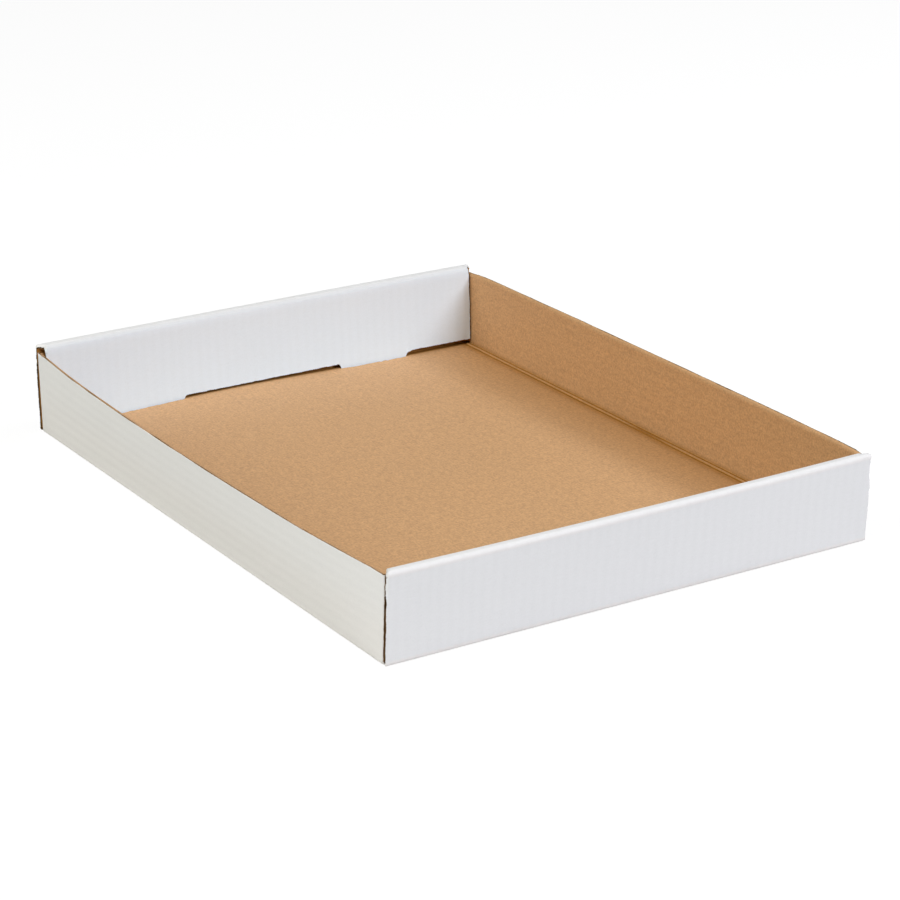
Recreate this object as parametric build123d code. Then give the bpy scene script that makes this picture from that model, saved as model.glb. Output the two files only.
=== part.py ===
import os
from math import hypot

from build123d import *

# Open tray folded from one die-cut sheet of corrugated board, in millimetres.
# +X across the tray, +Y along it, +Z up, origin in the middle of the underside.
# The single side walls stand at -X and +X, the rolled end walls at -Y (front) and +Y (back).

# Board and folds
board = 2.6  # thickness of the corrugated board
layer_gap = 0.2  # air between layers of board that lie against each other
crease_inside = 0.3  # inside radius of a fold
crease_outside = 1.6  # outside radius of the folds round the floor and at the corners
roll_outside = 2.2  # outside radius of the two folds along a rolled top

# Overall sizes
inside_width = 304.8  # between the side walls at the floor
outside_length = 406.4  # over the end walls at the floor
side_height = 50.8  # cut rim of the side walls
end_height = 54.8  # top of the rolled end walls
front_set = 2.2  # how much lower the front end wall is pressed down than the back one

# Spring of the walls after folding
left_bow = 8.0  # how far the rim of the left wall bulges out at mid-length
right_bow = 2.0  # the same on the right wall
bow_shoulder = 0.7  # share of the way from mid-length to a corner where the rim turns in
bow_fullness = 0.66  # share of the bulge that is left there
front_lean = 2.6  # how far the top of the front end wall leans out
back_lean = 2.0  # the same on the back end wall

# Cut rims of the side walls, crushed thin by the die
rim_edge = 1.4  # thickness left at the rim
rim_depth = 2.6  # height over which the rim thins

# Corner flaps
flap_length = 96.0  # from the outside of the side wall to the flap's free end
flap_foot = 1.4  # air under the flap
flap_head = 1.0  # air between the flap and the rolled top strip
flap_taper = 4.0  # how much the flap narrows at its top and foot towards the free end

# Inner panels of the end walls
panel_clear = 1.9  # from the inner panel's cut edge to the side wall
strip_clear = 0.8  # from the corner fold to the end of the top strip
shoulder_rise = 3.9  # air under the panel between its tabs
shoulder_radius = 1.5  # rounding where a tab meets the panel
tab_width = 48.6
tab_spacing = 161.6  # between the middles of the two tabs
tab_shift = -4.8  # the pair of tabs sits this far off the tray's middle
tab_flare = 2.8  # how much each end of a tab slants outwards above the floor
tab_recess = 0.4  # from the tab's foot down to the tray's underside
slot_clear = 0.4  # air round a tab in its slot

# Crease beads on the floor along the side folds
bead_inset = 1.9  # from the side wall to the bead
bead_width = 3.5
bead_height = 0.7

# Slits between the floor's corners and the side folds
slit = 0.3

half_width = inside_width / 2 + board
half_length = outside_length / 2
front_height = end_height - front_set
fold_reach = board + crease_inside  # size of a fold, from the outside of the board
roll_depth = 3 * board + 2 * layer_gap  # outer panel, flap and inner panel
flap_depth = board + layer_gap  # from the outside of the end wall to the flap
wall_reach = half_length - flap_depth - fold_reach  # straight part of a side wall, from the middle


def floor_panel():
    """Floor with full-width strips at both ends, next to the end folds."""
    length = 2 * (half_length - fold_reach)
    middle = Box(2 * (half_width - fold_reach), length, board, align=(Align.CENTER, Align.CENTER, Align.MIN))
    strip_length = half_length - fold_reach - wall_reach - slit
    strip = Box(2 * half_width, strip_length, board, align=(Align.CENTER, Align.MAX, Align.MIN))
    return middle + [Pos(0, length / 2, 0) * strip, Pos(0, strip_length - length / 2, 0) * strip]


def side_fold():
    """Fold between the floor and the right side wall."""
    start, wall = half_width - fold_reach, half_width - board
    with BuildSketch(Plane.XZ) as section:
        with BuildLine():
            FilletPolyline((start, 0), (half_width, 0), (half_width, fold_reach), radius=crease_outside)
            Line((half_width, fold_reach), (wall, fold_reach))
            RadiusArc((wall, fold_reach), (start, board), crease_inside)
            Line((start, board), (start, 0))
        make_face()
    return extrude(section.sketch, wall_reach, both=True)


def crease_bead():
    """Low ridge that the inside liner forms beside the right side fold."""
    start = inside_width / 2 - bead_inset - bead_width
    end = start + bead_width
    with BuildSketch(Plane.XZ) as section:
        with BuildLine():
            ThreePointArc((start, board), (start + bead_width / 2, board + bead_height), (end, board))
            Polyline((end, board), (end, board / 2), (start, board / 2), (start, board))
        make_face()
    return extrude(section.sketch, wall_reach, both=True)


def rim_line(x, bow, start, end):
    """One face of a side wall in plan, straight or bulged outwards."""
    if bow == 0:
        return Line((x, start), (x, end))
    middle, half = (start + end) / 2, (end - start) / 2
    turn = bow_shoulder * half
    bulge = x + bow * bow_fullness
    return Spline((x, start), (bulge, middle - turn), (x + bow, middle), (bulge, middle + turn), (x, end))


def end_of_wall(height, wall_height, lean):
    """Where a corner flap starts along the tray, from the middle to the flap's outside."""
    return half_length - flap_depth + lean * height / wall_height


def band_plan(height, thick, bow):
    """Plan of the right side wall between its corner folds, at one height."""
    bow_there = bow * (height - fold_reach) / (side_height - fold_reach)
    front = fold_reach - end_of_wall(height, front_height, front_lean)
    back = end_of_wall(height, end_height, back_lean) - fold_reach
    with BuildSketch(Plane.XY.offset(height)) as plan:
        with BuildLine():
            out = rim_line(half_width, bow_there, front, back)
            into = rim_line(half_width - thick, bow_there, front, back)
            Line(out @ 0, into @ 0)
            Line(out @ 1, into @ 1)
        make_face()
    return plan.sketch


def corner_plan(height, thick, wall_height, lean):
    """Plan of the right wall's front corner fold with its flap, at one height."""
    front = -end_of_wall(height, wall_height, lean)
    turn, bend = front + fold_reach, half_width - fold_reach
    free = half_width - flap_length
    with BuildSketch(Plane.XY.offset(height)) as plan:
        with BuildLine():
            FilletPolyline((free, front), (half_width, front), (half_width, turn), radius=crease_outside)
            Line((half_width, turn), (half_width - thick, turn))
            RadiusArc((half_width - thick, turn), (bend, front + thick), fold_reach - thick)
            Polyline((bend, front + thick), (free, front + thick), (free, front))
        make_face()
    return plan.sketch


def risen(plan, *sizes):
    """Solid that rises from a plan at the foot to the plan at the thinned rim."""
    foot = plan(fold_reach, board, *sizes)
    below_rim = plan(side_height - rim_depth, board, *sizes)
    rim = plan(side_height, rim_edge, *sizes)
    return loft([foot, below_rim], ruled=True) + loft([below_rim, rim], ruled=True)


def flap_waste():
    """What is trimmed off above and below the right side's corner flaps, seen along Y."""
    bend = half_width - fold_reach
    free = half_width - flap_length - board
    foot = board + flap_foot
    head = front_height - board - flap_head
    over = end_height
    above = Polyline((bend, over), (bend, head), (free, head - flap_taper), (free, over), close=True)
    below = Polyline((bend, 0), (bend, foot), (free, foot + flap_taper), (free, 0), close=True)
    reach = half_length + max(front_lean, back_lean)
    return [extrude(Plane.XZ * make_face(edge), reach, both=True) for edge in (above, below)]


def side_wall(bow):
    """Right side wall, bulged and thinned at its rim, with a corner flap at each end."""
    front = risen(corner_plan, front_height, front_lean)
    back = mirror(risen(corner_plan, end_height, back_lean), Plane.XZ)
    return risen(band_plan, bow) + [front, back] - flap_waste()


def rolled_strip(height, lean):
    """Outer panel and rolled top of the front end wall, down to the top of its inner panel."""

    def at(level, depth):
        return (depth - half_length - lean * level / height, level)

    start = 2 * fold_reach
    drop = height - 2 * (board + roll_outside)
    back = roll_depth - board
    with BuildSketch(Plane.YZ) as section:
        with BuildLine():
            outer = FilletPolyline(
                at(0, start),
                at(0, 0),
                at(height, 0),
                at(height, roll_depth),
                at(drop, roll_depth),
                radius=[crease_outside, roll_outside, roll_outside],
            )
            inner = FilletPolyline(
                at(drop, back),
                at(height - board, back),
                at(height - board, board),
                at(board, board),
                (start - half_length, board),
                radius=crease_inside,
            )
            Line(outer @ 1, inner @ 0)
            Line(inner @ 1, outer @ 0)
        make_face()
    strip = extrude(section.sketch, half_width, both=True)
    waste = strip_end(height, lean)
    return strip - [waste, mirror(waste, Plane.YZ)]


def strip_end(height, lean):
    """What is cut off the right end of the rolled top, slanting in to the inner panel's edge."""
    outside = -half_length - lean
    corner = half_width - fold_reach - strip_clear
    edge = half_width - board - panel_clear
    inner_top = outside + roll_depth
    waste = Polyline(
        (half_width + board, outside + board),
        (corner, outside + board),
        (edge, inner_top - roll_outside),
        (edge, inner_top + 2 * board),
        (half_width + board, inner_top + 2 * board),
        close=True,
    )
    return Pos(0, 0, height / 2) * extrude(make_face(waste), height)


def tab_middles():
    return [tab_shift - tab_spacing / 2, tab_shift + tab_spacing / 2]


def inner_panel(height, lean):
    """Inner panel of the front end wall with its two locking tabs, leaning with the wall."""
    edge = half_width - board - panel_clear
    shoulder = board + shoulder_rise
    half_tab = tab_width / 2
    with BuildSketch() as outline:
        with Locations((0, shoulder)):
            Rectangle(2 * edge, height - board - roll_outside - shoulder, align=(Align.CENTER, Align.MIN))
        for middle in tab_middles():
            with BuildLine():
                Polyline(
                    (middle - half_tab - tab_flare, shoulder),
                    (middle - half_tab, board),
                    (middle - half_tab, tab_recess),
                    (middle + half_tab, tab_recess),
                    (middle + half_tab, board),
                    (middle + half_tab + tab_flare, shoulder),
                    close=True,
                )
            make_face()
        tab_ends = [
            corner
            for corner in outline.vertices()
            if abs(corner.Y - shoulder) < layer_gap and abs(corner.X) < edge - layer_gap
        ]
        fillet(tab_ends, shoulder_radius)
    plane = Plane((0, roll_depth - half_length, 0), x_dir=(1, 0, 0), z_dir=(0, -height, -lean))
    square_to_face = height / hypot(height, lean)
    return extrude(plane * outline.sketch, board * square_to_face)


def end_wall(height, lean):
    """Rolled end wall at the front: outer panel, top strip and inner panel in one piece."""
    return rolled_strip(height, lean) + inner_panel(height, lean)


def tab_slots():
    """Slots in the floor for the tabs of the front end wall."""
    slot = Box(tab_width + 2 * slot_clear, board + 2 * slot_clear, 4 * board)
    place = roll_depth - board / 2 - half_length
    return [Pos(middle, place, 0) * slot for middle in tab_middles()]


def folded_tray():
    slots = tab_slots()
    floor = floor_panel() - slots - [mirror(slot, Plane.XZ) for slot in slots]
    fold = side_fold() + crease_bead()
    right = fold + side_wall(right_bow)
    left = mirror(fold + side_wall(left_bow), Plane.YZ)
    front = end_wall(front_height, front_lean)
    back = mirror(end_wall(end_height, back_lean), Plane.XZ)
    return floor + [left, right, front, back]


os.makedirs("parts", exist_ok=True)
tray = folded_tray()
tray.label = "folded_tray"
export_step(tray, "parts/folded_tray.step")
print("folded_tray", len(tray.solids()), "solid", round(tray.volume / 1000, 1), "cm3")
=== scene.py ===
from math import pi

import bmesh
import bpy
import numpy as np
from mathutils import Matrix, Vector, noise


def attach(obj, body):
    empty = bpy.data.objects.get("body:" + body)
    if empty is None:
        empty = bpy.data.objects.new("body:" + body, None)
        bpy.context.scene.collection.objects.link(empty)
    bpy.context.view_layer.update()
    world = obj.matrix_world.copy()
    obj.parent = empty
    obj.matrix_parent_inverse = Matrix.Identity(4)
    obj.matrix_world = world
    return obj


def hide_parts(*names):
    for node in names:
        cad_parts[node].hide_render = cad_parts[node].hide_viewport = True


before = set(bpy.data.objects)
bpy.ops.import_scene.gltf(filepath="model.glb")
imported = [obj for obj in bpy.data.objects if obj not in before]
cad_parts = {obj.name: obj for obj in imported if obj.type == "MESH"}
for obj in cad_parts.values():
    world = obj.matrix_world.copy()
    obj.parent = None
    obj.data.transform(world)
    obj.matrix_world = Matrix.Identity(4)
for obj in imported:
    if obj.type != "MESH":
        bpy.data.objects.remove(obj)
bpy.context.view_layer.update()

mm = 0.001
scene = bpy.context.scene
scene.view_settings.view_transform = "Standard"


# One wire of a node tree: sums of wires and numbers add Math nodes
class Wire:
    def __init__(self, desk, socket):
        self.desk, self.socket = desk, socket

    def maths(self, operation, first, second):
        return self.desk.node("ShaderNodeMath", {"operation": operation}, {0: first, 1: second})

    def __add__(self, other):
        return self.maths("ADD", self, other)

    def __radd__(self, other):
        return self.maths("ADD", other, self)

    def __sub__(self, other):
        return self.maths("SUBTRACT", self, other)

    def __rsub__(self, other):
        return self.maths("SUBTRACT", other, self)

    def __mul__(self, other):
        return self.maths("MULTIPLY", self, other)

    def __truediv__(self, other):
        return self.maths("DIVIDE", self, other)

    def cosine(self):
        return self.desk.node("ShaderNodeMath", {"operation": "COSINE"}, {0: self})


# Adds nodes to one tree: settings first, then the values or links of the sockets
class Desk:
    def __init__(self, tree):
        self.tree = tree

    def node(self, kind, settings=None, sockets=None, out=0):
        made = self.tree.nodes.new(kind)
        for key, value in (settings or {}).items():
            if key == "stops":
                ramp = made.color_ramp
                while len(ramp.elements) < len(value):
                    ramp.elements.new(0.5)
                for element, (place, grey) in zip(ramp.elements, value):
                    element.position, element.color = place, (grey, grey, grey, 1.0)
            else:
                setattr(made, key, value)
        for key, value in (sockets or {}).items():
            if isinstance(value, Wire):
                self.tree.links.new(value.socket, made.inputs[key])
            else:
                made.inputs[key].default_value = value
        return Wire(self, made.outputs[out]) if made.outputs else made

    def mix(self, share, first, second):
        return self.node("ShaderNodeMix", {"data_type": "RGBA"}, {0: share, 6: first, 7: second}, out=2)

    def scaled(self, vector, size):
        return self.node("ShaderNodeVectorMath", {"operation": "SCALE"}, {0: vector, "Scale": size})


# Lengths of the folded board in millimetres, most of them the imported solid's
tray = dict(
    # Board and folds
    board=2.6,
    liner=0.3,  # each of the two flat papers
    core=0.24,  # the fluted paper between them
    coreGap=0.06,  # air between a flute and a flat paper
    coreTrim=2.0,  # how far the fluted paper ends inside a torn cut
    coreInset=0.5,  # the same inside a clean cut
    pitch=6.35,  # of the flutes
    sag=0.075,  # dip of a flat paper between two flutes
    wave=0.22,  # slow unevenness of the panels
    layerGap=0.2,  # air between layers of board
    creaseIn=0.3,  # inside radius of a fold
    creaseOut=1.6,  # outside radius of the folds round the floor
    rollOut=2.2,  # outside radius of the folds of a rolled top
    slit=0.3,  # between the floor's corners and the side folds
    # Overall
    halfWidth=155.0,
    halfLength=203.2,
    sideHeight=50.8,
    frontHeight=52.6,
    backHeight=54.8,
    frontLean=2.6,
    backLean=2.0,
    frontBow=2.2,  # how far the tops of the end walls belly out in the middle
    backBow=1.2,
    bellyFrom=120.0,  # along the tray, where the belly starts
    bellyFull=190.0,  # and where it is full
    # Side walls and their corner flaps
    leftBow=8.0,  # how far the rims bulge out at mid-length
    rightBow=2.0,
    leftRim=1.2,  # thickness left at the cut rims
    rightRim=0.9,
    rimDepth=0.8,  # height over which a rim thins
    rimDrop=1.0,  # dip of the rim at the corners, under the rolled tops
    flapLength=96.0,
    flapFoot=1.4,
    flapHead=1.0,
    flapTaper=4.0,
    flapInset=0.6,  # from the corner fold to a flap's last column
    foldLift=0.35,  # how much higher the brown face's first row stands above the fold
    sideFoldShadeReach=2.4,  # height above the fold where the deeper brown painted as shade ends
    sideFoldShadeFull=0.2,  # and depth in the fold from where it is full
    # Rolled end walls
    panelClear=0.9,
    shoulderRise=3.4,
    shoulderLift=0.5,  # how much higher the panel is cut from the left tab on
    shoulderFade=10.0,  # height over which that fades out
    shoulderRound=0.9,
    cornerDrop=1.0,  # softer corner at the right end of the right tab
    cornerReach=2.6,
    tabHalf=24.05,
    tabSpacing=162.1,
    tabShift=-3.65,
    tabFlare=1.4,
    tabFoot=0.4,
    slotClear=0.4,
    frontSlope=0.9,  # how far the front rolled top falls towards the inside
    bulge=0.12,  # how far the fold of a rolled top stands proud
    bulgeAt=2.4,  # below the top
    bulgeReach=1.1,
    slantStart=0.7,  # depth where the slanted end of a rolled top starts
    slantStep=1.4,  # how far it has come in, one board deep
    footStart=0.5,  # depth where the foot of an end wall starts to narrow
    # Floor
    beadInset=1.9,
    beadWidth=2.6,
    ridgeGapAt=-5.0,  # where the ridge of the right crease is pressed flat
    ridgeGapReach=18.0,
    grooveLeast=0.05,  # depth from which a crease counts as a groove
    footShadeFrom=2.8,  # from the ridge's start to the foot of the wall, where shade is painted
    footShadeFull=3.2,
    besideReach=9.0,  # painted shade on the floor beside the crease
    besideFull=0.9,
    besideEnd=1.4,
    wallShadeReach=60.0,  # reach of the painted shade that deepens the floor's brown towards the side walls
    creaseFade=3.0,  # how a crease ends at the corners
    creasePast=0.1,
    endFade=1.2,  # painted shade that darkens the floor under the end walls
    swell=2.4,  # rise of the floor before the back wall
    swellAt=-25.0,
    swellReach=85.0,
    swellFrom=30.0,
    # Cut edges
    ragged=0.3,  # wander of the cut edges
    frayReach=1.3,  # where the white paper is torn back at the ends of the outer panels
    capReach=0.7,  # where it covers the ends of a rolled top
    tooth=0.7,  # spacing of the nicks that a toothed knife leaves
    nick=0.32,  # their depth
    ground=0.05,  # below this, an edge wanders only sideways
    # Where the flutes stop showing
    footFade=3.0,  # above the foot of an end wall
    topFade=5.0,  # below a rolled top
    wallFade=4.0,  # at the foot and the rim of a side wall
    floorFade=6.0,  # beside the side folds
    # Spacing of the rows and columns
    edgeFirst=0.5,  # columns next to a cut edge
    edgeSecond=1.2,
    columnGap=0.35,
    rowGap=0.3,
    slotNear=6.0,  # floor rows next to the slots
    slotStep=1.5,
    kneeInset=4.0,  # columns are squeezed from here on towards a shorter row's end
    hair=0.01,
)
tray = {name: size * mm for name, size in tray.items()}

# Values of the folded board without a unit, or in degrees or waves to the metre
shares = dict(
    # Shapes
    tabLevels=(0.3, 0.6, 0.8, 0.93),  # rows between the floor and the shoulder
    tabRound=8,  # power of the rounding where a tab meets the panel
    bulgeInner=0.6,  # bulge on the inside of a rolled top
    bowFullness=0.597,  # part of the side walls' bulge that is a plain parabola
    dipFrom=0.6,  # height from which the rim's dip at the corners starts
    dipAlong=0.93,  # and the same along the wall
    pressAlong=0.02,  # length over which the flutes fade out at the corners
    foldTurn=-75.0,  # where the brown face's arc starts in a side fold
    cornerTurn=-12.0,  # where it ends in a corner fold
    foldSteps=4,
    cornerSteps=5,
    sideRibs=1.2,  # how much stronger the flutes show on the side walls
    wave=(13.0, 9.0, 16.0),  # unevenness of the panels along x, y and z
    waveShift=3.1,
    # Cut edges
    weld=1e6,  # steps to the metre when grids are welded
    tiny=1e-9,
    raggedness=520.0,
    raggedShifts=(0.3, 31.7, 63.1),
    nickiness=3.0,  # how much quicker the nicks change
    mostNicks=8,
    rimNick=0.4,  # depth of the nicks on the side rims
    toothLow=0.25,  # depth of every other nick
    nickMean=0.6,  # mean depth of the nicks, and how far it varies
    nickSpread=0.8,
    fray=0.72,  # part of the board's thickness that the torn white paper covers
    frayLeast=0.01,
    frayFrom=0.66,  # height where the tear starts
    frayFull=0.78,
    tatter=(420.0, 90.0, 0.5),  # how the tear varies up the wall and from wall to wall
    tatterMean=0.75,
    tatterSpread=0.5,
    cap=0.5,  # what the white paper covers at the ends of a rolled top
    # Painted shade: brightness taken out of the colour
    foldShade=0.15,  # along the inner fold of the back rolled top
    rimShade=0.10,  # along the outer fold of the front one
    rimShadeFrom=0.3,
    outerShade=0.022,  # on the outer panels
    creaseShade=0.3,  # in the creases beside the side walls
    besideShade=0.3,  # part of that on the floor beside them and in the side folds
    insideShade=0.20,  # inside the end walls
    # Cooler white painted in where the light on each part calls for it, most against the warm light bounced
    # from the brown floor
    outerCool=0.20,  # on the outer panels
    upperCool=0.70,  # along the tops of the inner panels
    coolFrom=0.2,  # height where it is still full
    sideCool=0.10,  # along the rims of the side walls
    sideCoolFrom=0.25,
    sideCoolFull=0.85,
    # Deeper brown painted in as shade
    insideShadeTint=0.90,  # inside the end walls
    sideShadeTint=0.12,  # on the side walls
    sideFoldShadeTint=0.4,  # what is added in the side folds
    wallShadeTint=0.30,  # towards the side walls
    besideShadeTint=0.65,  # on the floor beside the creases
    flatShadeTint=0.85,  # where the ridge is pressed flat
)

# Papers: two tones that cloud into each other, fibres, flecks, faint stripes of painted shade along the
# flutes and a fine relief, with a third colour that is painted in: cooler white on the white paper, deeper
# brown as shade on the brown one
papers = {
    "whitePaper": dict(
        colour=(0.802, 0.803, 0.803), other=(0.778, 0.779, 0.779), worn=(0.743, 0.868, 0.968),
        cloud=0.012, grain=0.02, fibre=0.02, fleck=0.02, stripe=0.006, rough=0.74, shine=0.2, bump=0.10,
    ),
    "whiteCut": dict(
        colour=(0.86, 0.85, 0.83), other=(0.74, 0.69, 0.62), worn=(0.70, 0.68, 0.66),
        cloud=0.05, grain=0.10, fibre=0.10, fleck=0.10, stripe=0.0, rough=0.9, shine=0.1, bump=0.3,
    ),
    "kraftPaper": dict(
        colour=(0.568, 0.341, 0.171), other=(0.545, 0.320, 0.156), worn=(0.45, 0.190, 0.018),
        cloud=0.04, grain=0.40, fibre=0.16, fleck=0.07, stripe=0.010, rough=0.62, shine=0.4, bump=0.16,
    ),
    "kraftCut": dict(
        colour=(0.60, 0.40, 0.23), other=(0.42, 0.26, 0.13), worn=(0.30, 0.15, 0.05),
        cloud=0.10, grain=0.20, fibre=0.20, fleck=0.20, stripe=0.0, rough=0.95, shine=0.1, bump=0.3,
    ),
    # Dark brown of the fluted paper, deepened to paint the shade inside the board; it is also the back of
    # both flat papers
    "coreShadePaper": dict(
        colour=(0.15, 0.080, 0.034), other=(0.10, 0.052, 0.022), worn=(0.11, 0.058, 0.025),
        cloud=0.10, grain=0.16, fibre=0.16, fleck=0.20, stripe=0.0, rough=0.95, shine=0.1, bump=0.3,
    ),
}

# Noise of the papers in waves to the metre along x, y and z, with its detail
weave = dict(
    cloud=((22.0, 14.0, 22.0), 3.0),
    fine=((900.0, 760.0, 900.0), 3.0),
    fibreAlong=((1100.0, 210.0, 700.0), 2.0),
    fibreAcross=((240.0, 1000.0, 900.0), 2.0),
    speck=((760.0, 640.0, 760.0), 1.0),
)
speckStops = [(0.60, 0.0), (0.74, 1.0)]
relief = 0.15 * mm


def makePaper(name, spec):
    material = bpy.data.materials.new(name)
    material.use_nodes = True
    material.node_tree.nodes.clear()
    desk = Desk(material.node_tree)
    place = desk.node("ShaderNodeTexCoord", out="Object")

    def grain(title):
        stretch, detail = weave[title]
        moved = desk.node("ShaderNodeVectorMath", {"operation": "MULTIPLY"}, {0: place, 1: stretch})
        sockets = {"Vector": moved, "Scale": 1.0, "Detail": detail, "Roughness": 0.6}
        return desk.node("ShaderNodeTexNoise", None, sockets)

    def stored(title):
        return desk.node("ShaderNodeAttribute", {"attribute_name": title}, out="Fac")

    cloud, fine = grain("cloud"), grain("fine")
    fibre = grain("fibreAlong") + grain("fibreAcross")
    speck = desk.node("ShaderNodeValToRGB", {"stops": speckStops}, {0: grain("speck")})
    # Faint stripes along the flutes: painted shade of the ripples in the flat paper
    ripple = (stored("across") * (2 * pi / tray["pitch"])).cosine() * (cloud * 2.0)
    tone = 1.0 + (cloud - 0.5) * (2.0 * spec["cloud"]) + (fine - 0.5) * (2.0 * spec["grain"])
    tone = tone + (fibre - 1.0) * (2.0 * spec["fibre"]) - speck * spec["fleck"] + ripple * spec["stripe"]
    # Painted shade: the stored shade takes brightness out of the colour
    tone = tone * (1.0 - stored("shade"))
    tint = desk.mix(cloud, (*spec["colour"], 1.0), (*spec["other"], 1.0))
    # Painted tint: cooler white on the white paper, deeper brown as shade on the brown one
    tint = desk.mix(stored("worn"), tint, (*spec["worn"], 1.0))
    bump = {"Strength": spec["bump"], "Distance": relief, "Height": fibre + fine}
    sockets = {
        "Base Color": desk.scaled(tint, tone),
        "Roughness": spec["rough"],
        "Specular IOR Level": spec["shine"],
        "Normal": desk.node("ShaderNodeBump", None, bump),
    }
    shader = desk.node("ShaderNodeBsdfPrincipled", None, sockets)
    desk.node("ShaderNodeOutputMaterial", None, {"Surface": shader})
    return material


finishes = {name: makePaper(name, spec) for name, spec in papers.items()}
print("papers", len(finishes))

board, halfWidth, halfLength = tray["board"], tray["halfWidth"], tray["halfLength"]
foldReach = board + tray["creaseIn"]
rollDepth = 3 * board + 2 * tray["layerGap"]
flapDepth = board + tray["layerGap"]
wallReach = halfLength - flapDepth - foldReach
bend = halfWidth - foldReach
panelEdge = halfWidth - board - tray["panelClear"]
cornerEdge = halfWidth - board + tray["layerGap"]  # floor between the corner slits
shoulder = board + tray["shoulderRise"]
tabTop = tray["tabHalf"] + tray["tabFlare"] + tray["shoulderRound"]
tabMiddles = [tray["tabShift"] - tray["tabSpacing"] / 2, tray["tabShift"] + tray["tabSpacing"] / 2]
slotHalf = tray["tabHalf"] + tray["slotClear"]
slotOut = halfLength - rollDepth + board + tray["slotClear"]
slotIn = halfLength - rollDepth - tray["slotClear"]
beadEnd = halfWidth - board - tray["beadInset"]
beadStart = beadEnd - tray["beadWidth"]

# Crease beside a side wall: a ridge between two grooves
beadX = beadStart + mm * np.array([-0.4, 0.1, 0.6, 1.0, 1.4, 1.8, 2.2, 2.7, 3.2, 3.6, 3.9, 4.15])
beadZ = mm * np.array([0.0, -0.1, -0.4, -0.1, 0.22, 0.42, 0.42, 0.2, -0.2, -0.35, -0.2, 0.0])


def turn(middle, radius, start, end, steps):
    angles = np.radians(np.linspace(start, end, steps + 1))
    return np.stack([middle[0] + radius * np.cos(angles), middle[1] + radius * np.sin(angles)], axis=1)


def points(*axes):
    return np.stack(np.broadcast_arrays(*axes), axis=-1)


def ease(low, high, value):
    share = np.clip((value - low) / (high - low), 0.0, 1.0)
    return share * share * (3.0 - 2.0 * share)


def hump(value, middle, reach):
    return np.exp(-(((value - middle) / reach) ** 2))


def merged(regular, special, near):
    special = np.array(sorted(set(np.round(special, 7))))
    apart = np.abs(regular[:, None] - special[None, :]).min(axis=1)
    return np.sort(np.concatenate([regular[apart > near], special]))


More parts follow.
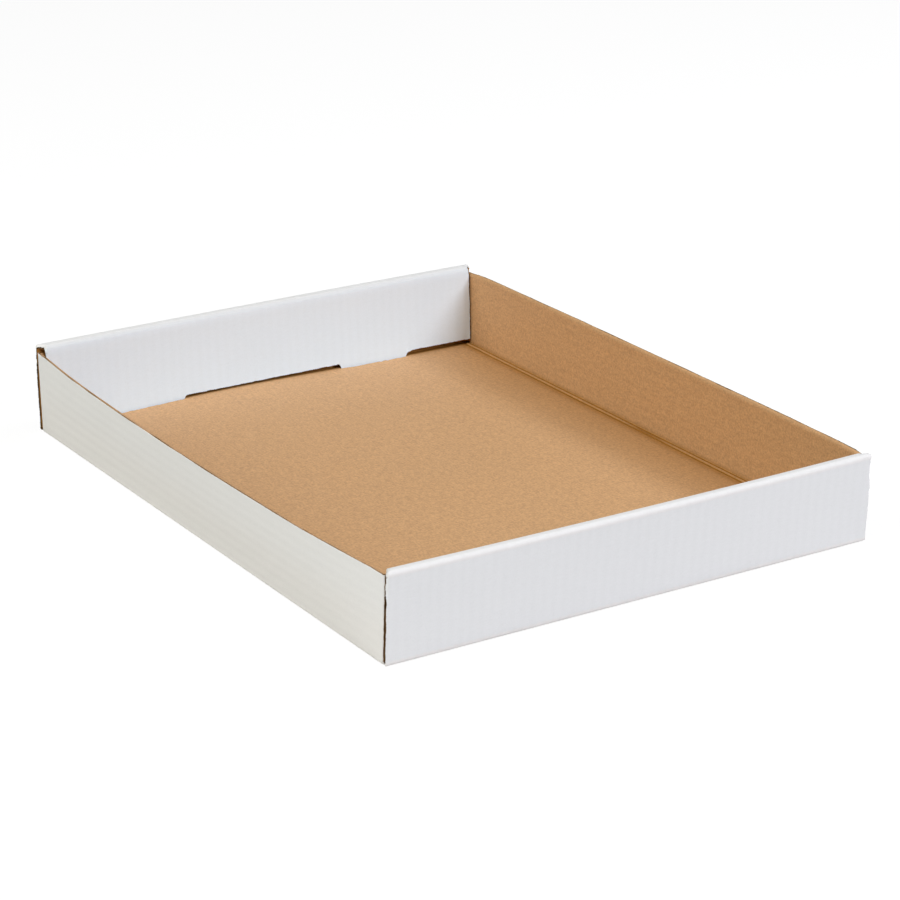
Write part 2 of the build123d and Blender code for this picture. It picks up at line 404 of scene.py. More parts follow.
# Section of an end wall from the foot of its tabs over the rolled top to the floor:
# depth from the wall's outside and height, for the white face and for the brown one
def endRows(height, steps, slope, foldShade, rimShade):
    creaseIn, creaseOut, rollOut, arcs = tray["creaseIn"], tray["creaseOut"], tray["rollOut"], steps["arc"]
    back = rollDepth - board
    inside = height - slope  # top of the inner fold
    under, insideUnder = height - board - creaseIn, inside - board - creaseIn

    def upright(depth, start, end, count):
        return points(depth, np.linspace(start, end, count + 1)[:-1])

    between = board + (shoulder - board) * np.array(shares["tabLevels"])
    tabs = points(rollDepth, np.array([tray["tabFoot"], board, *between]))
    depths = np.linspace(rollDepth - rollOut, rollOut, steps["top"] + 1)[1:-1]
    share = (depths - rollOut) / (rollDepth - 2 * rollOut)
    parts = dict(
        tabs=(tabs, tabs - [board, 0]),
        panel=(
            upright(rollDepth, shoulder, inside - rollOut, steps["panel"]),
            upright(back, shoulder, insideUnder, steps["panel"]),
        ),
        innerFold=(
            turn((rollDepth - rollOut, inside - rollOut), rollOut, 0, 90, arcs),
            turn((back - creaseIn, insideUnder), creaseIn, 0, 90, arcs),
        ),
        top=(
            points(depths, height - slope * share),
            points(foldReach + share * (back - creaseIn - foldReach), height - board - slope * share),
        ),
        outerFold=(
            turn((rollOut, height - rollOut), rollOut, 90, 180, arcs),
            turn((foldReach, under), creaseIn, 90, 180, arcs),
        ),
        outer=(
            upright(0.0, height - rollOut, creaseOut, steps["outer"])[1:],
            upright(board, under, foldReach, steps["outer"])[1:],
        ),
        foot=(
            turn((creaseOut, creaseOut), creaseOut, 180, 270, arcs),
            turn((foldReach, foldReach), creaseIn, 180, 270, arcs),
        ),
    )
    out, into = (np.concatenate(rows) for rows in zip(*parts.values()))
    stops = np.cumsum([0] + [len(rows[0]) for rows in parts.values()])
    span = {name: slice(start, stop) for name, start, stop in zip(parts, stops, stops[1:])}
    proud = tray["bulge"] * hump(out[:, 1], height - tray["bulgeAt"], tray["bulgeReach"])
    proud = proud * np.where(out[:, 0] > rollDepth / 2, shares["bulgeInner"], -1.0)
    out[:, 0] += proud * np.abs(out[:, 0] / rollDepth - 0.5) * 2
    depth, level = out[:, 0], out[:, 1]

    edge = np.full(len(out), halfWidth)
    edge[: span["innerFold"].stop] = panelEdge
    sloped = slice(span["top"].start, span["outerFold"].stop)
    slantAt = [tray["slantStart"], board, rollDepth - rollOut]
    edge[sloped] = np.interp(depth[sloped], slantAt, [halfWidth, halfWidth - tray["slantStep"], panelEdge])
    footAt = [tray["footStart"], creaseOut]
    edge[span["foot"]] = np.interp(depth[span["foot"]], footAt, [halfWidth, cornerEdge])

    onPanel, onOuter = np.zeros(len(out), bool), np.zeros(len(out), bool)
    onPanel[: span["panel"].stop] = True
    onOuter[span["outer"]] = True
    press = onPanel + onOuter * ease(creaseOut, creaseOut + tray["footFade"], level)
    press = press * ease(height - rollOut, height - rollOut - tray["topFade"], level)

    # Painted shade along the folds of the rolled tops and on the outer panels, and cooler white painted onto
    # the panels
    shade = shares["outerShade"] * onOuter
    shade[span["innerFold"]] = foldShade * np.sin(np.linspace(0.0, pi, arcs + 1))
    shade[span["outerFold"]] = rimShade * np.sin(np.linspace(shares["rimShadeFrom"] * pi, pi, arcs + 1))
    cool = shares["outerCool"] * onOuter
    coolAt = [shares["coolFrom"] * height, height]
    cool[onPanel] = np.interp(level[onPanel], coolAt, [1.0, shares["upperCool"]])
    cool[span["innerFold"]] = shares["upperCool"] * np.linspace(1.0, 0.0, arcs + 1) ** 2

    quick, slow, shift = shares["tatter"]
    tatter = np.array([noise.noise(Vector((z * quick, height * slow, shift))) for z in level])
    torn = onOuter * ease(shares["frayFrom"] * height, shares["frayFull"] * height, level)
    fray = shares["fray"] * torn * (shares["tatterMean"] + shares["tatterSpread"] * tatter)
    reach = np.full(len(out), tray["frayReach"])
    capped = slice(span["innerFold"].start, span["outerFold"].stop)
    fray[capped], reach[capped] = shares["cap"], tray["capReach"]
    return dict(
        out=out, into=into, edge=edge, press=press, shade=shade, cool=cool, fray=fray, reach=reach,
        tabRows=len(tabs),
    )


# Long sheet: front end wall, floor and back end wall as one grid of rows along the tray
def longSheet(steps, trimmed):
    edges = (halfWidth, halfWidth - tray["edgeFirst"], halfWidth - tray["edgeSecond"], bend, *beadX)
    special = [sign * x for sign in (-1, 1) for x in edges]
    special += [middle + sign * x for middle in tabMiddles for sign in (-1, 1) for x in (tabTop, slotHalf)]
    count = int(np.ceil(halfWidth / tray["pitch"] * steps["flute"]))
    regular = np.arange(-count, count + 1) * tray["pitch"] / steps["flute"]
    columns = merged(regular[np.abs(regular) < halfWidth], special, tray["columnGap"])
    sideways = np.abs(columns)
    near, step = slotIn - tray["slotNear"], tray["slotStep"]
    slotRows = [slotIn - step, slotIn, wallReach, wallReach + tray["slit"], slotOut]
    inner = np.linspace(-near, near, steps["floor"] + 1)
    floorY = np.array([*(-y for y in reversed(slotRows)), *inner, *slotRows])
    lists = {key: [] for key in ("out", "into", "press", "worn", "shade", "cool", "dark")}
    kinds = []

    def addRow(kind, out, into, **values):
        for key, value in dict(out=points(*out), into=points(*into), **values).items():
            lists[key].append(value if np.ndim(value) else np.full(len(columns), value))
        kinds.append(kind)

    def spread(edge):
        knee = bend if edge > bend else beadStart - tray["kneeInset"]
        squeezed = knee + (sideways - knee) * (edge - knee) / (halfWidth - knee)
        return np.where(sideways > knee, np.sign(columns) * squeezed, columns)

    left, right = tabMiddles
    fromTab = np.maximum(columns - right - tabTop, 0.0)
    cutLift = tray["shoulderLift"] * ease(panelEdge, right, columns) * (columns > left)
    cutLift = cutLift - tray["cornerDrop"] * hump(fromTab, 0.0, tray["cornerReach"]) * (columns > right)
    liftAt = [board, shoulder, shoulder + tray["shoulderFade"]]

    def tabColumns(x, level):
        share = max(0.0, (level - board) / (shoulder - board))
        half = tray["tabHalf"] + tray["tabFlare"] * share
        half = half + tray["shoulderRound"] * share ** shares["tabRound"]
        for middle in tabMiddles:
            inside = np.abs(columns - middle) < tabTop + tray["hair"]
            x = np.where(inside, middle + (columns - middle) * half / tabTop, x)
        return x

    def addEnd(rows, side, height, lean):
        def placed(x, face, into, torn):
            depth = face[0] + (into[0] - face[0]) * torn
            level = face[1] + (into[1] - face[1]) * torn
            y = side * (halfLength - depth + lean * level / height)
            onPanel = face[0] > rollDepth - 1.5 * board
            return x, y, level + np.interp(level, liftAt, [0.0, 1.0, 0.0]) * onPanel * cutLift

        order = range(len(rows["out"]))
        for i in order if side < 0 else reversed(order):
            out, into, edge, fray = (rows[key][i] for key in ("out", "into", "edge", "fray"))
            trim = 0.0
            if trimmed and out[1] > 2 * foldReach:
                trim = tray["coreTrim"] if fray > shares["frayLeast"] else tray["coreInset"]
            kind = "tab" if i < rows["tabRows"] else "end"
            x = spread(edge - trim)
            if kind == "tab":
                x = tabColumns(x, out[1])
            torn = fray * ease(edge - rows["reach"][i], edge, np.abs(x))
            # The brown inside the end walls is painted deeper and darker as shade
            addRow(
                kind, placed(x, out, into, torn), placed(x, into, into, 0.0),
                press=rows["press"][i], shade=rows["shade"][i], cool=rows["cool"][i],
                worn=shares["insideShadeTint"], dark=shares["insideShade"],
            )

    front = endRows(tray["frontHeight"], steps, tray["frontSlope"], 0.0, shares["rimShade"])
    addEnd(front, -1, tray["frontHeight"], tray["frontLean"])
    bead = np.interp(sideways, beadX, beadZ)
    # Painted shade: deeper, darker brown in the grooves, at the foot of the side walls, beside the creases
    # and towards the side walls
    groove = np.interp(sideways, beadX, np.where(beadZ < -tray["grooveLeast"], 1.0, 0.0))
    groove = np.maximum(groove, ease(beadStart + tray["footShadeFrom"], beadStart + tray["footShadeFull"], sideways))
    beside = ease(beadStart - tray["besideReach"], beadStart, sideways)
    beside = beside * ease(beadStart + tray["besideEnd"], beadStart + tray["besideFull"], sideways)
    wallShadeTint = shares["wallShadeTint"] * ease(bend - tray["wallShadeReach"], bend, sideways)
    wallShadeTint = np.maximum(wallShadeTint, shares["besideShadeTint"] * beside)
    flat = ease(bend, bend - tray["floorFade"], sideways)
    creaseStop = wallReach - tray["creaseFade"]
    for y in floorY:
        far = abs(y)
        x = spread(cornerEdge) if far > wallReach + 0.5 * tray["slit"] else columns
        flattened = (columns > beadStart) * hump(y, tray["ridgeGapAt"], tray["ridgeGapReach"])
        crease = np.where(bead > 0, bead * (1 - flattened), bead)
        crease = crease * ease(wallReach + tray["creasePast"], creaseStop, far)
        swell = tray["swell"] * hump(x, tray["swellAt"], tray["swellReach"]) * flat
        swell = swell * ease(tray["swellFrom"], slotIn, y)
        creaseShadeShare = np.maximum(groove, shares["flatShadeTint"] * flattened)
        clear = ease(wallReach, creaseStop, far)
        # painted shade on the floor under the end walls
        nearEnd = ease(slotIn, slotIn + tray["endFade"], far)
        dark = shares["creaseShade"] * np.maximum(creaseShadeShare, shares["besideShade"] * beside) * clear
        addRow(
            "floor", (x, y, swell), (x, y, board + crease + swell),
            press=flat * ease(slotOut, slotIn, far), shade=0.0, cool=0.0,
            worn=np.maximum(np.maximum(wallShadeTint, creaseShadeShare) * clear, shares["insideShadeTint"] * nearEnd),
            dark=np.maximum(dark, shares["insideShade"] * nearEnd),
        )
    back = endRows(tray["backHeight"], steps, 0.0, shares["foldShade"], 0.0)
    addEnd(back, 1, tray["backHeight"], tray["backLean"])

    sheet = {key: np.array(rows) for key, rows in lists.items()}
    out = sheet["out"]
    centre = (columns[1:] + columns[:-1]) / 2
    fromMiddle = np.min([np.abs(centre - middle) for middle in tabMiddles], axis=0)
    keep = np.ones((len(out) - 1, len(centre)), bool)
    for i, pair in enumerate(zip(kinds, kinds[1:])):
        if "tab" in pair:
            keep[i] = fromMiddle < tabTop
        elif pair == ("floor", "floor"):
            far = abs(out[i, 0, 1] + out[i + 1, 0, 1]) / 2
            keep[i] &= ~((far > slotIn) & (fromMiddle < slotHalf))
            keep[i] &= ~((far < wallReach + tray["slit"]) & (np.abs(centre) > bend))
    return dict(sheet, across=out[:, :, 0], ribs=1.0, keep=keep, floorY=floorY)


# Side sheet: side fold, side wall and its two corner flaps as one grid of rows up the wall
def sideSheet(side, bow, rimEdge, steps, floorY):
    creaseIn, creaseOut = tray["creaseIn"], tray["creaseOut"]
    cornerSteps, flapSteps = shares["cornerSteps"], steps["flap"]
    top, rim = tray["sideHeight"], tray["rimDepth"]
    outside, inside = (halfWidth - creaseOut, creaseOut), (bend, foldReach)  # middles of the folds' arcs
    foldOut = [(bend, 0.0), *turn(outside, creaseOut, -90, 0, shares["foldSteps"])]
    foldIn = [(bend, board), *turn(inside, creaseIn, shares["foldTurn"], 0, shares["foldSteps"])]
    folds = len(foldOut)
    regular = np.arange(foldReach, top, tray["pitch"] / steps["sideFlute"])
    levels = merged(regular, [foldReach, top - rim, top - rim / 2, top - rim / 5, top], tray["rowGap"])
    wallY = floorY[np.abs(floorY) < wallReach + tray["hair"]]
    along = (wallY + wallReach) / (2 * wallReach)
    fromMiddle = np.abs(2 * along - 1)
    fullness = shares["bowFullness"]
    bulge = 1 - fullness * fromMiddle**2 - (1 - fullness) * fromMiddle**6  # nothing at the corners
    freeX = np.linspace(halfWidth - tray["flapLength"], bend - tray["flapInset"], flapSteps)
    taper = tray["flapTaper"] * (bend - freeX) / tray["flapLength"]
    foot = board + tray["flapFoot"] + taper
    head = tray["frontHeight"] - board - tray["flapHead"] - taper
    flapPress = np.concatenate([np.ones(flapSteps), np.zeros(cornerSteps + 1)])
    pressAlong = ease(0.0, shares["pressAlong"], 1 - fromMiddle)

    def ends(level):
        front = halfLength - flapDepth + tray["frontLean"] * level / tray["frontHeight"]
        back = halfLength - flapDepth + tray["backLean"] * level / tray["backHeight"]
        return -front, back

    lists = {key: [] for key in ("out", "into", "press", "across")}
    for i in range(folds + len(levels)):
        level = foldReach if i < folds else levels[i - folds]
        thick = board + (rimEdge - board) * np.clip((level - top + rim) / rim, 0.0, 1.0)
        dip = tray["rimDrop"] * ease(shares["dipFrom"] * top, top, level)
        front, back = ends(level)
        if i < folds:
            (outX, outZ), (inX, inZ) = foldOut[i], foldIn[i]
            outWall, inWall = points(outX, wallY, outZ), points(inX, wallY, inZ)
        else:
            inLevel = level + tray["foldLift"] if i == folds else level
            outX, outZ, inX, inZ = halfWidth, level - dip, bend + creaseIn, inLevel - dip
            lean = bow * bulge * (level - foldReach) / (top - foldReach)
            y = front + foldReach + along * (back - front - 2 * foldReach)
            dips = dip * ease(shares["dipAlong"], 1.0, fromMiddle)
            outWall = points(halfWidth + lean, y, level - dips)
            inWall = points(halfWidth + lean - thick, y, inLevel - dips)
        flapZ = foot + (level - foldReach) / (top - foldReach) * (head - foot)
        arc = turn(outside, creaseOut, -90, 0, cornerSteps) - [halfWidth - outX, 0.0]
        arcIn = turn(inside, foldReach - thick, -90, shares["cornerTurn"], cornerSteps)
        arcIn = arcIn - [bend + creaseIn - inX, 0.0]
        outEnds, inEnds = [], []
        for end, flapY, sign in zip((front, back), ends(flapZ), (1, -1)):
            corner = points(arc[:, 0], end + sign * arc[:, 1], outZ)
            cornerIn = points(arcIn[:, 0], end + sign * arcIn[:, 1], inZ)
            outEnds.append(np.concatenate([points(freeX, flapY, flapZ), corner]))
            inEnds.append(np.concatenate([points(freeX, flapY + sign * thick, flapZ), cornerIn]))
        lists["out"].append(np.concatenate([outEnds[0], outWall, outEnds[1][::-1]]))
        lists["into"].append(np.concatenate([inEnds[0], inWall, inEnds[1][::-1]]))
        wallPress = ease(foldReach, foldReach + tray["wallFade"], level)
        wallPress = wallPress * ease(top, top - tray["wallFade"], level) * pressAlong
        lists["press"].append(np.concatenate([flapPress, wallPress, flapPress[::-1]]))
        onWall = np.full(len(wallY) + 2 * (cornerSteps + 1), level)
        lists["across"].append(np.concatenate([flapZ, onWall, flapZ[::-1]]))

    sheet = {key: np.array(rows) for key, rows in lists.items()}
    out, into = sheet["out"], sheet["into"]
    for face in (out, into):
        face[:, :, 0] *= side
    keep = np.ones((len(out) - 1, out.shape[1] - 1), bool)
    # Painted shade: the brown deepens and darkens towards the side fold and is dark on the corner flaps; the
    # white is painted cooler towards the rim
    inFold = ease(foldReach + tray["sideFoldShadeReach"], foldReach - tray["sideFoldShadeFull"], into[:, :, 2])
    worn = shares["sideShadeTint"] + shares["sideFoldShadeTint"] * inFold
    dark = shares["besideShade"] * shares["creaseShade"] * inFold
    cool = shares["sideCool"] * ease(shares["sideCoolFrom"] * top, shares["sideCoolFull"] * top, out[:, :, 2])
    for flap in (slice(0, flapSteps), slice(-flapSteps, None)):
        keep[:folds, flap] = False
        worn[:, flap] = shares["insideShadeTint"]
        dark[:, flap] = shares["insideShade"]
    return dict(
        sheet, worn=worn, dark=dark, cool=cool, shade=np.zeros_like(worn), ribs=shares["sideRibs"], keep=keep
    )


# The end walls belly out between the corners, and every panel is a little uneven
def settle(places, facing, press):
    x, y, z = places[..., 0], places[..., 1], places[..., 2]
    belly = np.where(y < 0, -tray["frontBow"], tray["backBow"])
    belly = belly * ease(tray["bellyFrom"], tray["bellyFull"], np.abs(y))
    y = y + belly * np.clip(1 - (x / halfWidth) ** 2, 0.0, 1.0) * z / tray["backHeight"]
    moved = points(x, y, z)
    waved = moved.reshape(-1, 3) * shares["wave"] + [0.0, 0.0, shares["waveShift"]]
    slow = np.array([noise.noise(Vector(place)) for place in waved]).reshape(x.shape)
    return moved + facing * (slow * press * tray["wave"])[..., None]


# One paper of the board: its two faces, the way it faces and how far the flutes press it
def layered(sheets, layer):
    grids = []
    for sheet in sheets:
        out, into, press = sheet["out"], sheet["into"], sheet["press"]
        thick = np.linalg.norm(into - out, axis=-1, keepdims=True)
        through = (into - out) / thick
        middle = (out + into) / 2
        shifted = settle(middle, -through, press) - middle
        # The white paper takes the painted cooler white and the painted fold shade, the brown papers the
        # painted deeper brown and darkening
        worn, shade = sheet["worn"], sheet["dark"]
        if layer == "outer":
            top, under, facing = out, out + through * tray["liner"], -through
            worn, shade, press = sheet["cool"], sheet["shade"], press * sheet["ribs"]
        elif layer == "inner":
            top, under, facing = into, into - through * tray["liner"], through
        else:
            half = through * tray["core"] / 2
            top, under, facing = middle - half, middle + half, -through
            press = np.maximum(thick[..., 0] / 2 - tray["liner"] - tray["core"] / 2 - tray["coreGap"], 0.0)
        grid = dict(top=top + shifted, under=under + shifted, facing=facing, press=press)
        grids.append(dict(grid, worn=worn, shade=shade, across=sheet["across"], keep=sheet["keep"]))
    return grids


# Closed thin shell from grids whose two faces are given, welded where grids meet
def shellMesh(name, grids, seed, apart, nicked):
    quads, groups, start = [], [], 0
    for number, grid in enumerate(grids):
        rows, columns = grid["press"].shape
        index = start + np.arange(rows * columns).reshape(rows, columns)
        quad = np.stack([index[:-1, :-1], index[:-1, 1:], index[1:, 1:], index[1:, :-1]], axis=-1)
        quads.append(quad[grid["keep"]])
        groups.append(np.full(rows * columns, number if apart else 0))
        start += rows * columns
    quads, groups = np.concatenate(quads), np.concatenate(groups)
    keys = ("top", "under", "facing", "across", "press", "worn", "shade")
    fields = {
        key: np.concatenate([grid[key].reshape(grid["press"].size, -1) for grid in grids]) for key in keys
    }
    used = np.unique(quads)
    places = np.column_stack([np.round(fields["top"][used] * shares["weld"]), groups[used]]).astype(np.int64)
    _, first, same = np.unique(places, axis=0, return_index=True, return_inverse=True)
    lookup = np.full(len(groups), -1)
    lookup[used] = same.reshape(-1)
    quads = lookup[quads]
    fields = {key: field[used[first]] for key, field in fields.items()}

    # Wander of the cut edges
    edges = np.concatenate([quads[:, [i, (i + 1) % 4]] for i in range(4)])
    _, where, times = np.unique(np.sort(edges, axis=1), axis=0, return_index=True, return_counts=True)
    border, owner = edges[where[times == 1]], where[times == 1] % len(quads)
    wander = np.zeros_like(fields["top"])
    for i in np.unique(border):
        place = Vector(fields["top"][i]) * shares["raggedness"]
        wander[i] = [noise.noise(place + Vector((seed, shift, 0.0))) for shift in shares["raggedShifts"]]
    wander *= tray["ragged"]
    wander[fields["top"][:, 2] < tray["ground"], 2] = 0.0  # nothing sinks below the underside
    for key in ("top", "under"):
        fields[key] = fields[key] + wander

    # Nicks along the cut edges
    top, facing = fields["top"], fields["facing"]
    extra, between = [], {}
    for (start, end), quad in zip(border, owner):
        along = top[end] - top[start]
        inward = np.cross(facing[start], along)
        towards = np.sign(np.dot(inward, top[quads[quad]].mean(axis=0) - top[start]))
        inward *= towards / max(np.linalg.norm(inward), shares["tiny"])
        pieces = 1
        if nicked:
            pieces = int(np.clip(round(np.linalg.norm(along) / tray["tooth"]), 1, shares["mostNicks"]))
        onRim = abs(top[start][0]) > bend and abs(top[start][1]) < wallReach
        deepest = (shares["rimNick"] if onRim else 1.0) * tray["nick"]
        new = len(top) + len(extra)
        between[start, end] = list(range(new, new + pieces - 1))
        for piece in range(1, pieces):
            share = piece / pieces
            place = Vector(top[start] + share * along) * shares["raggedness"] * shares["nickiness"]
            tooth = shares["toothLow"] + (1 - shares["toothLow"]) * (piece % 2)
            depth = deepest * tooth * (shares["nickMean"] + shares["nickSpread"] * noise.noise(place))
            extra.append((start, end, share, inward * max(depth, 0.0)))

    def filled(field, moved):
        new = []
        for start, end, share, shift in extra:
            new.append(field[start] + (field[end] - field[start]) * share + (shift if moved else 0.0))
        return np.concatenate([field, np.array(new)]) if new else field

    fields = {key: filled(field, key in ("top", "under")) for key, field in fields.items()}
    count = len(fields["top"])
    plates, walls = [], []
    touched = set(owner.tolist())
    for number, quad in enumerate(quads.tolist()):
        if number in touched:
            quad = [v for i in range(4) for v in (quad[i], *between.get((quad[i], quad[(i + 1) % 4]), ()))]
        plates.append(quad)
    for (start, end), middle in between.items():
        chain = [start, *middle, end]
        walls += [[b, a, a + count, b + count] for a, b in zip(chain, chain[1:])]
    faces = plates + [[v + count for v in reversed(plate)] for plate in plates] + walls
    parts = np.repeat([0, 1, 2], [len(plates), len(plates), len(walls)]).astype(np.int32)
    mesh = bpy.data.meshes.new(name)
    mesh.from_pydata(np.concatenate([fields["top"], fields["under"]]).tolist(), [], faces)
    doubled = {key: np.tile(fields[key].reshape(-1), 2) for key in keys[2:]}
    for key in ("across", "press", "worn", "shade"):
        mesh.attributes.new(key, "FLOAT", "POINT").data.foreach_set("value", doubled[key])
    mesh.attributes.new("facing", "FLOAT_VECTOR", "POINT").data.foreach_set("vector", doubled["facing"])
    mesh.attributes.new("part", "INT", "FACE").data.foreach_set("value", parts)
    work = bmesh.new()
    work.from_mesh(mesh)
    bmesh.ops.recalc_face_normals(work, faces=work.faces)
    kind = work.faces.layers.int["part"]
    for edge in work.edges:
        edge.smooth = len({face[kind] for face in edge.link_faces}) == 1
    loose = sum(not edge.is_manifold for edge in work.edges)
    work.to_mesh(mesh)
    work.free()
    print(name, sum(len(face) - 2 for face in faces), "triangles", loose, "open edges")
    return mesh


# Flutes pressed into a shell, with a material for its face, its back and its cut edge
paperFaces = ("Face", "Back", "Cut")


def fluteTree():
    tree = bpy.data.node_groups.new("pressedFlutes", "GeometryNodeTree")
    kinds = {"Geometry": "Geometry", **dict.fromkeys(("Pitch", "Depth", "Rest", "Phase"), "Float")}
    kinds.update(dict.fromkeys(paperFaces, "Material"))
    sockets = {}
    for title, kind in kinds.items():
        socket = tree.interface.new_socket(title, in_out="INPUT", socket_type="NodeSocket" + kind)
        sockets[title] = socket.identifier
    tree.interface.new_socket("Geometry", in_out="OUTPUT", socket_type="NodeSocketGeometry")
    desk = Desk(tree)
    entry = tree.nodes.new("NodeGroupInput")
    given = {title: Wire(desk, entry.outputs[title]) for title in sockets}

    def stored(title, kind):
        return desk.node("GeometryNodeInputNamedAttribute", {"data_type": kind}, {"Name": title})

    def chosen(operation, number):
        settings = {"data_type": "INT", "operation": operation}
        return desk.node("FunctionNodeCompare", settings, {2: stored("part", "INT"), 3: number})

    ripple = (stored("across", "FLOAT") / given["Pitch"] * (2 * pi) + given["Phase"]).cosine()
    size = (ripple - given["Rest"]) * given["Depth"] * stored("press", "FLOAT")
    shift = desk.scaled(stored("facing", "FLOAT_VECTOR"), size)
    made = desk.node("GeometryNodeSetPosition", None, {"Geometry": given["Geometry"], "Offset": shift})
    notCut = chosen("NOT_EQUAL", paperFaces.index("Cut"))
    shaded = {"Geometry": made, "Selection": notCut, "Shade Smooth": True}
    made = desk.node("GeometryNodeSetShadeSmooth", None, shaded)
    made = desk.node("GeometryNodeRealizeInstances", None, {"Geometry": made})
    for number, title in enumerate(paperFaces):
        painted = {"Geometry": made, "Selection": chosen("EQUAL", number), "Material": given[title]}
        made = desk.node("GeometryNodeSetMaterial", None, painted)
    desk.node("NodeGroupOutput", None, {"Geometry": made})
    return tree, sockets


flutes, fluteSockets = fluteTree()


def makePiece(name, sheets, spec):
    mesh = shellMesh(name, layered(sheets, spec["layer"]), spec["seed"], spec["apart"], spec["nicked"])
    blank = bpy.data.objects.new(name + "_blank", mesh)
    scene.collection.objects.link(blank)
    modifier = blank.modifiers.new("flutes", "NODES")
    modifier.node_group = flutes
    inputs = dict(Pitch=tray["pitch"], Depth=spec["depth"], Rest=spec["rest"], Phase=spec["phase"])
    inputs.update({title: finishes[paper] for title, paper in zip(paperFaces, spec["papers"])})
    for title, value in inputs.items():
        modifier[fluteSockets[title]] = value
    graph = bpy.context.evaluated_depsgraph_get()
    plain = bpy.data.meshes.new_from_object(blank.evaluated_get(graph))
    plain.name = name
    bpy.data.objects.remove(blank)
    for title in ("press", "facing", "part"):
        if title in plain.attributes:
            plain.attributes.remove(plain.attributes[title])
    piece = bpy.data.objects.new(name, plain)
    scene.collection.objects.link(piece)
    return piece


# White paper outside and brown paper inside
sides = ((-1, "leftBow", "leftRim"), (1, "rightBow", "rightRim"))
linerSteps = dict(panel=10, arc=5, outer=32, top=4, floor=26, flute=4, sideFlute=5, flap=8)
longLiner = longSheet(linerSteps, trimmed=False)
liners = [longLiner]
liners += [sideSheet(side, tray[bow], tray[rim], linerSteps, longLiner["floorY"]) for side, bow, rim in sides]
outerSpec = dict(
    layer="outer", seed=11, apart=False, nicked=True, depth=tray["sag"] / 2, rest=1.0, phase=0.0,
    papers=("whitePaper", "coreShadePaper", "whiteCut"),
)
outerLiner = makePiece("outer_liner", liners, outerSpec)
innerSpec = dict(
    layer="inner", seed=12, apart=False, nicked=True, depth=tray["sag"] / 2, rest=1.0, phase=pi,
    papers=("kraftPaper", "coreShadePaper", "kraftCut"),
)
innerLiner = makePiece("inner_liner", liners, innerSpec)

# Fluted paper between them
coreSteps = dict(panel=4, arc=3, outer=5, top=4, floor=12, flute=10, sideFlute=10, flap=6, wall=24)
coreY = np.linspace(-wallReach, wallReach, coreSteps["wall"] + 1)
cores = [longSheet(coreSteps, trimmed=True)]
cores += [sideSheet(side, tray[bow], tray[rim], coreSteps, coreY) for side, bow, rim in sides]
coreSpec = dict(
    layer="core", seed=13, apart=True, nicked=False, depth=1.0, rest=0.0, phase=0.0,
    papers=("coreShadePaper", "coreShadePaper", "kraftCut"),
)
flutedCore = makePiece("fluted_core", cores, coreSpec)

for piece, slotName in ((outerLiner, "white_liner"), (innerLiner, "board"), (flutedCore, "fluted_core")):
    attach(piece, "root")
    print(piece.name, len(piece.data.polygons), "faces")
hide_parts("folded_tray")

# Floor, light and camera
stageSpec = dict(
    half=6.0,
    drop=0.3 * mm,  # below the tray
    bounce=(0.69, 0.66, 0.63, 1.0),  # what lights the tray from below
    seen=(0.97, 0.97, 0.97, 1.0),  # what the camera sees
    glow=0.85,  # part of the seen floor that shines by itself
    strength=1.05,
    world=0.03,  # light of the surroundings, which look white
    white=(1.0, 1.0, 1.0, 1.0),
)


def makeFloor():
    half, drop = stageSpec["half"], stageSpec["drop"]
    mesh = bpy.data.meshes.new("studio_floor")
    corners = [(-half, -half, -drop), (half, -half, -drop), (half, half, -drop), (-half, half, -drop)]
    mesh.from_pydata(corners, [], [(0, 1, 2, 3)])
    floor = bpy.data.objects.new("studio_floor", mesh)
    scene.collection.objects.link(floor)
    material = bpy.data.materials.new("studioFloor")
    material.use_nodes = True
    material.node_tree.nodes.clear()
    desk = Desk(material.node_tree)
    rays = desk.node("ShaderNodeLightPath", out="Is Camera Ray")
    grey = desk.mix(rays, stageSpec["bounce"], stageSpec["seen"])
    matt = desk.node("ShaderNodeBsdfDiffuse", None, {"Color": grey})
    shine = {"Color": stageSpec["white"], "Strength": stageSpec["strength"]}
    glow = desk.node("ShaderNodeEmission", None, shine)
    both = desk.node("ShaderNodeMixShader", None, {0: rays * stageSpec["glow"], 1: matt, 2: glow})
    desk.node("ShaderNodeOutputMaterial", None, {"Surface": both})
    mesh.materials.append(material)


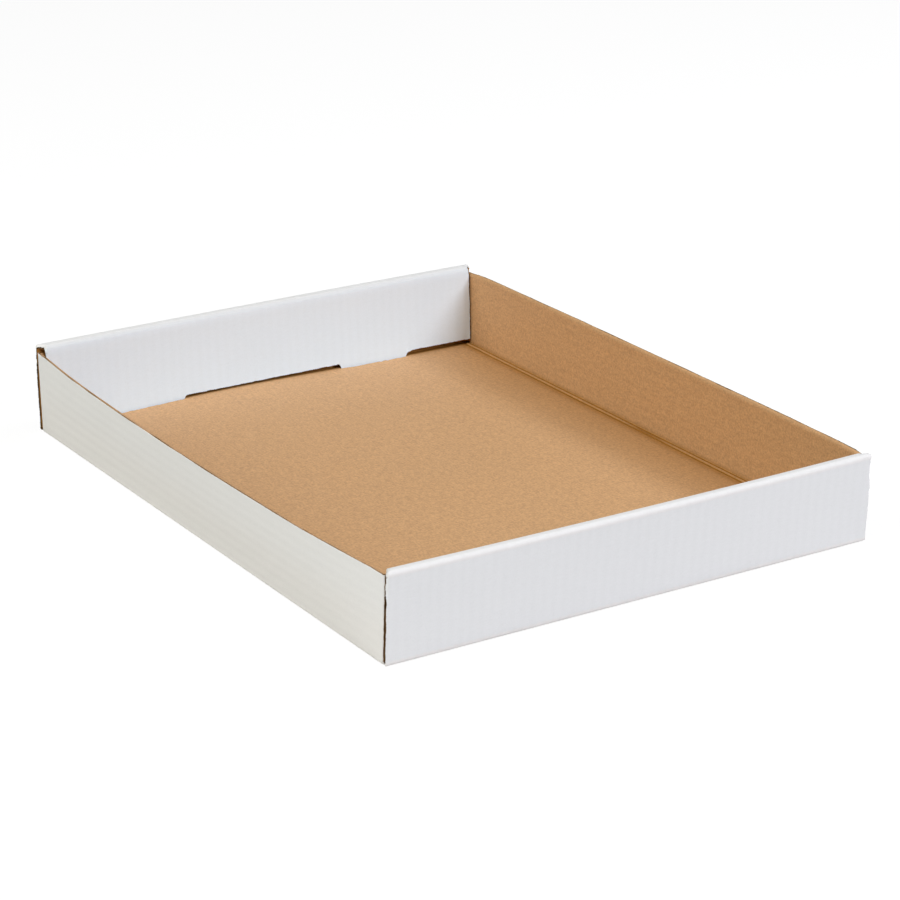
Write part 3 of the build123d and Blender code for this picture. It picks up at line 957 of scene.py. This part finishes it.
def makeWorld(strength):
    world = bpy.data.worlds.new("studioWorld")
    scene.world = world
    world.use_nodes = True
    world.node_tree.nodes.clear()
    desk = Desk(world.node_tree)
    rays = desk.node("ShaderNodeLightPath", out="Is Camera Ray")
    level = strength + rays * (1.0 - strength)
    back = desk.node("ShaderNodeBackground", None, {"Color": stageSpec["white"], "Strength": level})
    desk.node("ShaderNodeOutputWorld", None, {"Surface": back})


# Round lamps that point at the tray
lamps = {
    "keyLamp": dict(at=(1.5, -0.2, 1.35), size=0.6, power=13.4, colour=(0.944, 0.971, 1.0)),
    "frontLamp": dict(at=(0.8, -2.25, 1.52), size=1.2, power=44.4, colour=(0.962, 0.947, 1.0)),
    "leftLamp": dict(at=(-2.3, 0.55, 1.2), size=1.2, power=17.6, colour=(1.0, 0.970, 0.82)),
    "highLamp": dict(at=(-1.5, -0.6, 2.1), size=1.2, power=40.0, colour=(0.994, 1.0, 0.986)),
}


def makeLamp(name, spec):
    data = bpy.data.lights.new(name, "AREA")
    data.shape, data.size, data.energy, data.color = "DISK", spec["size"], spec["power"], spec["colour"]
    lamp = bpy.data.objects.new(name, data)
    scene.collection.objects.link(lamp)
    lamp.location = spec["at"]
    lamp.rotation_euler = (-Vector(spec["at"])).to_track_quat("-Z", "Y").to_euler()


# Camera fitted to the photo, a little wider so that the whole tray is in view
view = dict(
    at=(-0.8449, -1.3523, 0.6223), towards=(0.50075, 0.79028, -0.35315), lens=117.7, sensor=36.0, far=50.0
)


def makeCamera():
    data = bpy.data.cameras.new("photoCamera")
    data.lens, data.sensor_width, data.sensor_height = view["lens"], view["sensor"], view["sensor"]
    data.clip_end = view["far"]
    camera = bpy.data.objects.new("photoCamera", data)
    scene.collection.objects.link(camera)
    camera.location = view["at"]
    camera.rotation_euler = Vector(view["towards"]).to_track_quat("-Z", "Y").to_euler()
    scene.camera = camera


makeFloor()
makeWorld(stageSpec["world"])
for lampName, lampSpec in lamps.items():
    makeLamp(lampName, lampSpec)
makeCamera()
print("stage ready")
